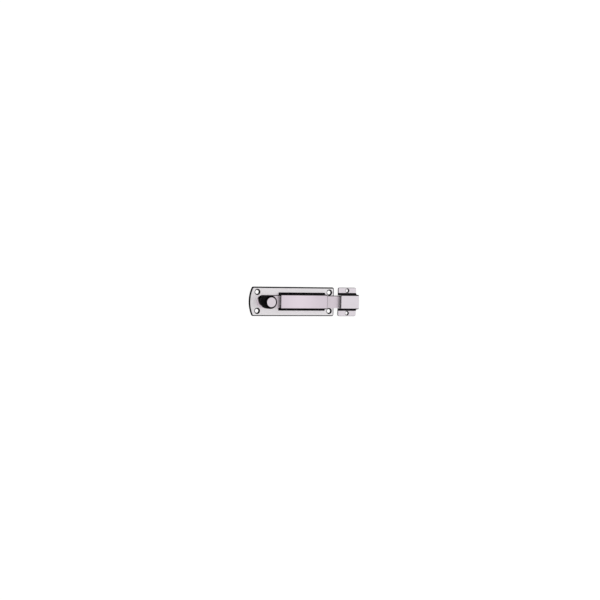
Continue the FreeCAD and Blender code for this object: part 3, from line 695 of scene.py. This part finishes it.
# %% [markdown]
# The nickel finish puts the three groups together. The bright colour is nickel's own pale grey with a
# breath of warm lilac, times the tones of grain and smears and of a painted highlight over the middle of the
# bolt. The painted dark reflection and shade is laid over it: there the surface is nearly black, dull and
# not metallic. The low specular level keeps the painted dark from shining at a glancing view. Each piece's
# colour, roughness and metallic value was matched to its own faces in the photograph, which makes the
# pieces partly lit and shaded copies of one nickel. Real nickel is fully metallic. The plate and the bar are
# given as only partly so, because the more metallic they are, the darker is the knob that they mirror, and
# the photograph shows none. For the same reason the painted dark is only laid on what the camera sees, and
# light that bounces or is mirrored meets bright metal. The inside of a roof is painted shade for all light,
# so that the mouths look deep. The knob shade is a round patch of painted shade on the bar's tail, which
# completes a black shape that the photograph shows beside the knob. What that shape is on the real bolt
# isn't known.

# %% The nickel finish
# The colour, roughness and specular level of the painted dark reflection and shade.
PAINTED_DARK_COLOUR = (0.003, 0.0027, 0.0033, 1)
PAINTED_DARK_ROUGHNESS = 0.5
PAINTED_DARK_SPECULAR = 0.005
# A painted highlight: the nickel is painted brighter over the middle of the bolt, where a broad highlight
# lies.
HIGHLIGHT_MIDDLE = 0.004
HIGHLIGHT_REACH = 0.032
GRAIN_DEPTH = 0.00003
# How far the painted shade inside a roof reaches past the channel's side and the roof's underside.
ROOF_SLACK = 0.1
# A round patch of painted shade on the bar's tail beside the knob, where the knob darkens it.
KNOB_SHADE_X = knob_x + 1.0
KNOB_SHADE_Y = 1.9
KNOB_SHADE_RADIUS = 6.2
KNOB_SHADE_FADE = 0.4


def use_group(tree, group, **values):
    """Places a group in a material with its own values. An underscore in a name stands for a space."""
    node = tree.nodes.new("ShaderNodeGroup")
    node.node_tree = group
    for label, value in values.items():
        node.inputs[label.replace("_", " ")].default_value = value
    return node


def round_painted_shade(tree, x, y, radius, spread):
    """A patch of painted shade round an upright axis: 1 inside the radius, fading to 0 over the spread, in
    metres.
    """
    flat = tree.nodes.new("ShaderNodeVectorMath")
    flat.operation = "MULTIPLY"
    tree.links.new(object_place(tree), flat.inputs[0])
    flat.inputs[1].default_value = (1, 1, 0)
    away = tree.nodes.new("ShaderNodeVectorMath")
    away.operation = "DISTANCE"
    tree.links.new(flat.outputs[0], away.inputs[0])
    away.inputs[1].default_value = (x, y, 0)
    return ramp_node(tree, away.outputs["Value"], radius, radius + spread, 1.0, 0.0)


def painted_roof_shade(tree):
    """Painted shade: 1 inside the housing and the keeper, nearer the bar's line than their walls and below
    their roof.
    """
    place = tree.nodes.new("ShaderNodeSeparateXYZ")
    tree.links.new(object_place(tree), place.inputs[0])
    aside = math_node(tree, "ABSOLUTE", place.outputs["Y"])
    between = math_node(tree, "LESS_THAN", aside, (inner + ROOF_SLACK) * MM)
    under_it = math_node(tree, "LESS_THAN", place.outputs["Z"], (top_z - ROOF + ROOF_SLACK) * MM)
    return math_node(tree, "MULTIPLY", between, under_it)


def nickel(name, colour, metallic, roughness, relief, painted_dark_values, grain_values, smear_values,
           painted_highlight=0.0, knob_shade=None, roof_shaded=False):
    """Nickel plate: bright brushed metal under smears, with painted dark reflection and shade on all that
    turns away. Painted highlight is how much brighter the finish is painted over the middle of the bolt than
    far from it, as in the photograph. Knob shade is the place, radius and spread of a round patch of painted
    shade. Roof-shaded pieces have painted shade inside."""
    material = bpy.data.materials.new(name)
    material.use_nodes = True
    tree = material.node_tree
    shader = tree.nodes["Principled BSDF"]
    shader.inputs["Specular IOR Level"].default_value = PAINTED_DARK_SPECULAR
    mask = use_group(tree, painted_dark_group, **painted_dark_values)
    rays = tree.nodes.new("ShaderNodeLightPath")
    with_knob_shade = mask.outputs["Painted dark"]
    if knob_shade is not None:
        with_knob_shade = math_node(tree, "MAXIMUM", with_knob_shade, round_painted_shade(tree, *knob_shade))
    painted_dark = math_node(tree, "MULTIPLY", with_knob_shade, rays.outputs["Is Camera Ray"])
    if roof_shaded:
        painted_dark = math_node(tree, "MAXIMUM", painted_dark, painted_roof_shade(tree))
    metal = math_node(tree, "MULTIPLY", math_node(tree, "SUBTRACT", 1.0, painted_dark), metallic)
    grain = use_group(tree, grain_group, **grain_values)
    smears = use_group(tree, smear_group, **smear_values)
    tone = math_node(tree, "MULTIPLY", grain.outputs["Tone"], smears.outputs["Tone"])
    place = tree.nodes.new("ShaderNodeSeparateXYZ")
    tree.links.new(object_place(tree), place.inputs[0])
    off_middle = math_node(tree, "ABSOLUTE", math_node(tree, "SUBTRACT", place.outputs["X"], HIGHLIGHT_MIDDLE))
    middle = ramp_node(tree, off_middle, 0.0, HIGHLIGHT_REACH, 1.0 + painted_highlight / 2, 1.0 - painted_highlight / 2)
    tone = math_node(tree, "MULTIPLY", tone, middle)
    bright = tree.nodes.new("ShaderNodeVectorMath")
    bright.operation = "SCALE"
    bright.inputs[0].default_value = colour
    tree.links.new(tone, bright.inputs["Scale"])
    tree.links.new(mix_node(tree, painted_dark, bright.outputs[0], PAINTED_DARK_COLOUR), shader.inputs["Base Color"])
    tree.links.new(metal, shader.inputs["Metallic"])
    polish = math_node(tree, "ADD", smears.outputs["Roughness"], roughness)
    softer = math_node(tree, "MULTIPLY", painted_dark, PAINTED_DARK_ROUGHNESS - roughness)
    tree.links.new(math_node(tree, "ADD", polish, softer), shader.inputs["Roughness"])
    bump = tree.nodes.new("ShaderNodeBump")
    bump.inputs["Strength"].default_value = relief
    bump.inputs["Distance"].default_value = GRAIN_DEPTH
    tree.links.new(grain.outputs["Height"], bump.inputs["Height"])
    tree.links.new(bump.outputs[0], shader.inputs["Normal"])
    return material


# Where each kind of piece gets the painted dark reflection and shade.
PAINTED_DARK = {"Full_tilt": 0.965, "No_tilt": 0.994, "Ragged": 0.008, "Bright_back": 1.0, "Shadeward": (0, 0.08, 0)}
ROOFED_PAINTED_DARK = {**PAINTED_DARK, "Bright_back": 0.0}
BAR_PAINTED_DARK = {**PAINTED_DARK, "Shadeward": (6, 4, 0)}
KNOB_PAINTED_DARK = {**PAINTED_DARK, "Full_tilt": 0.985, "No_tilt": 0.998, "Ragged": 0.002, "Shadeward": (0, 0.02, 0)}
# The nickel colours differ from piece to piece partly to make up for how each is lit: the plate's is raised
# against the shade that the housing and the knob cast on it, so they are partly lit and shaded copies of one
# nickel.
plate_nickel = nickel(
    "plate_nickel", (0.90, 0.875, 0.895), 0.40, 0.50, 0.15, PAINTED_DARK,
    {"Fineness": 1.0, "Contrast": 0.10}, {"Dulling": 0.08, "Shade": 0.06})
housing_nickel = nickel(
    "housing_nickel", (0.70, 0.62, 0.686), 1.0, 0.33, 0.12, ROOFED_PAINTED_DARK,
    {"Fineness": 1.2, "Contrast": 0.12}, {"Dulling": 0.06, "Shade": 0.05}, painted_highlight=0.14, roof_shaded=True)
keeper_nickel = nickel(
    "keeper_nickel", (0.725, 0.675, 0.72), 1.0, 0.36, 0.12, ROOFED_PAINTED_DARK,
    {"Fineness": 1.2, "Contrast": 0.12}, {"Dulling": 0.06, "Shade": 0.05}, roof_shaded=True)
bar_nickel = nickel(
    "bar_nickel", (0.745, 0.668, 0.725), 0.4, 0.36, 0.10, BAR_PAINTED_DARK,
    {"Fineness": 1.4, "Contrast": 0.12}, {"Dulling": 0.08, "Shade": 0.05},
    knob_shade=(KNOB_SHADE_X * MM, KNOB_SHADE_Y * MM, KNOB_SHADE_RADIUS * MM, KNOB_SHADE_FADE * MM))
FINISHES = [(plate, plate_nickel), (housing, housing_nickel), (bar, bar_nickel), (keeper, keeper_nickel)]
for piece, material in FINISHES:
    piece.data.materials.clear()
    piece.data.materials.append(material)

# %% [markdown]
# A turned knob has marks that run round it, not along it, because a tool cut them while it turned. The
# photograph is too small to show them, so they are kept faint. Its rings come from the distance to the
# knob's axis, and on the side, where that distance is nearly the same everywhere, from the height. A wave
# of both gives closed rings on the face and on the side alike.

# %% The knob's finish
RING_WAVES = 14000.0
RING_RELIEF = 0.08
WOBBLE_WAVES = 200.0
WOBBLE = 0.0004


def knob_finish(name, colour, roughness):
    """Turned nickel: rings about the knob's own axis instead of the brushed grain, and the same painted dark
    reflection and shade.
    """
    material = nickel(
        name, colour, 1.0, roughness, 0.0, KNOB_PAINTED_DARK, {"Fineness": 1.0, "Contrast": 0.02},
        {"Dulling": 0.10, "Shade": 0.06})
    tree = material.node_tree
    centre = tree.nodes.new("ShaderNodeMapping")
    centre.inputs["Location"].default_value = (-knob_x * MM, 0, 0)
    tree.links.new(object_place(tree), centre.inputs["Vector"])
    place = tree.nodes.new("ShaderNodeSeparateXYZ")
    tree.links.new(centre.outputs[0], place.inputs[0])
    flat = tree.nodes.new("ShaderNodeCombineXYZ")
    tree.links.new(place.outputs["X"], flat.inputs["X"])
    tree.links.new(place.outputs["Y"], flat.inputs["Y"])
    radius = tree.nodes.new("ShaderNodeVectorMath")
    radius.operation = "LENGTH"
    tree.links.new(flat.outputs[0], radius.inputs[0])
    way = math_node(tree, "ADD", radius.outputs["Value"], place.outputs["Z"])
    wobble = math_node(tree, "MULTIPLY", noise_node(tree, centre.outputs[0], WOBBLE_WAVES), WOBBLE)
    waves = math_node(tree, "MULTIPLY", math_node(tree, "ADD", way, wobble), RING_WAVES)
    rings = math_node(tree, "SINE", waves)
    bump = next(node for node in tree.nodes if node.type == "BUMP")
    bump.inputs["Strength"].default_value = RING_RELIEF
    tree.links.new(rings, bump.inputs["Height"])
    return material


knob_nickel = knob_finish("knob_nickel", (0.69, 0.63, 0.68), 0.28)
knob.data.materials.clear()
knob.data.materials.append(knob_nickel)

# %% [markdown]
# Three framed pieces are already right in shape and stay as they are: the knob's screw, the stop pin and
# the bowed spring. The photograph shows none of them, so their finishes are what such parts usually have.
# The screw and the pin are zinc plated, a bluish grey with a frosted bloom. The spring is hardened steel,
# darker, with the straw and blue tints of its tempering lying across it in soft bands.

# %% The steel finishes
STEEL_DULLING = 0.15
STEEL_RELIEF = 0.1


def steel(name, first, second, scale, stretch_along, roughness):
    """Plain steel: two tones in a soft noise, which is drawn out along the bar where the strip was rolled."""
    material = bpy.data.materials.new(name)
    material.use_nodes = True
    tree = material.node_tree
    shader = tree.nodes["Principled BSDF"]
    shader.inputs["Metallic"].default_value = 1.0
    mapping = tree.nodes.new("ShaderNodeMapping")
    mapping.inputs["Scale"].default_value = (stretch_along, 1, 1)
    tree.links.new(object_place(tree), mapping.inputs["Vector"])
    clouds = noise_node(tree, mapping.outputs[0], scale)
    spread = ramp_node(tree, clouds, 0.3, 0.7, 0.0, 1.0)
    tree.links.new(mix_node(tree, spread, first, second), shader.inputs["Base Color"])
    dulled = math_node(tree, "ADD", math_node(tree, "MULTIPLY", spread, STEEL_DULLING), roughness)
    tree.links.new(dulled, shader.inputs["Roughness"])
    grain = use_group(tree, grain_group, Fineness=1.0, Contrast=0.1)
    bump = tree.nodes.new("ShaderNodeBump")
    bump.inputs["Strength"].default_value = STEEL_RELIEF
    bump.inputs["Distance"].default_value = GRAIN_DEPTH
    tree.links.new(grain.outputs["Height"], bump.inputs["Height"])
    tree.links.new(bump.outputs[0], shader.inputs["Normal"])
    return material


zinc = steel("zinc_plate", (0.58, 0.59, 0.60, 1), (0.47, 0.49, 0.52, 1), 1500.0, 1.0, 0.35)
tempered = steel("tempered_steel", (0.30, 0.29, 0.31, 1), (0.34, 0.27, 0.20, 1), 120.0, 3.0, 0.3)
for node, material in (("knob_screw", zinc), ("stop_pin", zinc), ("friction_spring", tempered)):
    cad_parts[node].data.materials.clear()
    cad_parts[node].data.materials.append(material)

# %% [markdown]
# The floor is plain pale paper. Seen by the camera, or in the metal, it glows at about seven tenths of
# white and the lamps' light brings it up to white, so that the object's shadow still shows on it. For all
# other rays it is only paper, so that it doesn't act as a lamp.

# %% The floor
FLOOR_REACH = 12.0
FLOOR_DROP = 0.0001
FLOOR_GLOW = 0.72
PAPER = 0.4
floor_mesh = bpy.data.meshes.new("floor")
floor_mesh.from_pydata(
    [(x * FLOOR_REACH, y * FLOOR_REACH, -FLOOR_DROP) for x, y in ((-1, -1), (1, -1), (1, 1), (-1, 1))],
    [], [(0, 1, 2, 3)])
floor = bpy.data.objects.new("floor", floor_mesh)
bpy.context.scene.collection.objects.link(floor)
paper = bpy.data.materials.new("paper")
paper.use_nodes = True
tree = paper.node_tree
shader = tree.nodes["Principled BSDF"]
shader.inputs["Base Color"].default_value = (PAPER, PAPER, PAPER, 1)
shader.inputs["Roughness"].default_value = 0.9
shader.inputs["Specular IOR Level"].default_value = 0.0
rays = tree.nodes.new("ShaderNodeLightPath")
seen = math_node(tree, "MAXIMUM", rays.outputs["Is Camera Ray"], math_node(
    tree, "MAXIMUM", rays.outputs["Is Glossy Ray"], rays.outputs["Is Transmission Ray"]))
glow = tree.nodes.new("ShaderNodeEmission")
tree.links.new(math_node(tree, "MULTIPLY", seen, FLOOR_GLOW), glow.inputs["Strength"])
both = tree.nodes.new("ShaderNodeAddShader")
tree.links.new(shader.outputs[0], both.inputs[0])
tree.links.new(glow.outputs[0], both.inputs[1])
tree.links.new(both.outputs[0], tree.nodes["Material Output"].inputs["Surface"])
floor_mesh.materials.append(paper)

# %% [markdown]
# The room gives soft light from everywhere, brightest near the horizon, as white walls do. One large
# softbox hangs where the flat faces mirror it to the camera, so that they show its even light as their own
# colour. A lamp sheet adds its light to that of the wall behind it, and the two together come to about one,
# so that a colour renders about as it is written.

# %% The room and the softbox
ROOM_LOW = 1.0
ROOM_HIGH = 0.75
SKY_FROM = 0.7
BOX_DIRECTION = (0.42, -0.03, 0.9)
BOX_DISTANCE = 1.0
BOX_SIZE = (0.8, 0.9)
BOX_RADIANCE = 0.3

world = bpy.data.worlds.new("room")
bpy.context.scene.world = world
world.use_nodes = True
tree = world.node_tree
direction = tree.nodes.new("ShaderNodeSeparateXYZ")
tree.links.new(tree.nodes.new("ShaderNodeTexCoord").outputs["Generated"], direction.inputs[0])
sky = ramp_node(tree, direction.outputs["Z"], 0.0, SKY_FROM, ROOM_LOW, ROOM_HIGH)
tree.links.new(sky, tree.nodes["Background"].inputs["Strength"])
tree.nodes["Background"].inputs["Color"].default_value = (1, 1, 1, 1)


def softbox(name, direction, distance, sides, radiance):
    """A lamp sheet that faces the origin. Its power is radiance times pi times its area."""
    light = bpy.data.lights.new(name, "AREA")
    light.shape = "RECTANGLE"
    light.size, light.size_y = sides
    light.energy = radiance * math.pi * sides[0] * sides[1]
    lamp = bpy.data.objects.new(name, light)
    bpy.context.scene.collection.objects.link(lamp)
    place = Vector(direction).normalized() * distance
    lamp.location = place
    lamp.rotation_euler = place.to_track_quat("Z", "Y").to_euler()
    return lamp


key = softbox("softbox", BOX_DIRECTION, BOX_DISTANCE, BOX_SIZE, BOX_RADIANCE)
print("softbox power %.2f W" % key.data.energy)

# %% [markdown]
# The photograph looks down on the face of the bolt from the knob's end, 25 degrees off square, through a
# long lens. The camera stands there: its tilt, its small sideways lean and its roll were worked out from
# where the plate's corners and screw holes lie in the picture. The shift only moves the bolt to its place
# in the frame.

# %% The camera
TILT = math.radians(25.0)
SIDE_LEAN = math.radians(3.96)
ROLL = math.radians(1.14)
DISTANCE = 1.546
PIXELS = 600
PIXELS_PER_METRE = 900.0
SENSOR = 36.0
ORIGIN_X = 292.95
ORIGIN_Y = 301.51
toward = Vector((
    -math.sin(TILT) * math.cos(SIDE_LEAN), math.sin(TILT) * math.sin(SIDE_LEAN), math.cos(TILT)))
right = Vector((0, 1, 0)).cross(toward).normalized()
up = toward.cross(right)
rolled_right = math.cos(ROLL) * right + math.sin(ROLL) * up
rolled_up = -math.sin(ROLL) * right + math.cos(ROLL) * up
camera_data = bpy.data.cameras.new("camera")
camera_data.sensor_width = SENSOR
camera_data.lens = PIXELS_PER_METRE * DISTANCE / PIXELS * SENSOR
camera_data.shift_x = (PIXELS / 2 - ORIGIN_X) / PIXELS
camera_data.shift_y = (ORIGIN_Y - PIXELS / 2) / PIXELS
camera = bpy.data.objects.new("camera", camera_data)
bpy.context.scene.collection.objects.link(camera)
matrix = Matrix((rolled_right, rolled_up, toward)).transposed().to_4x4()
matrix.translation = toward * DISTANCE
camera.matrix_world = matrix
bpy.context.scene.camera = camera
bpy.context.scene.view_settings.view_transform = "Standard"
print("lens %.1f mm" % camera_data.lens)
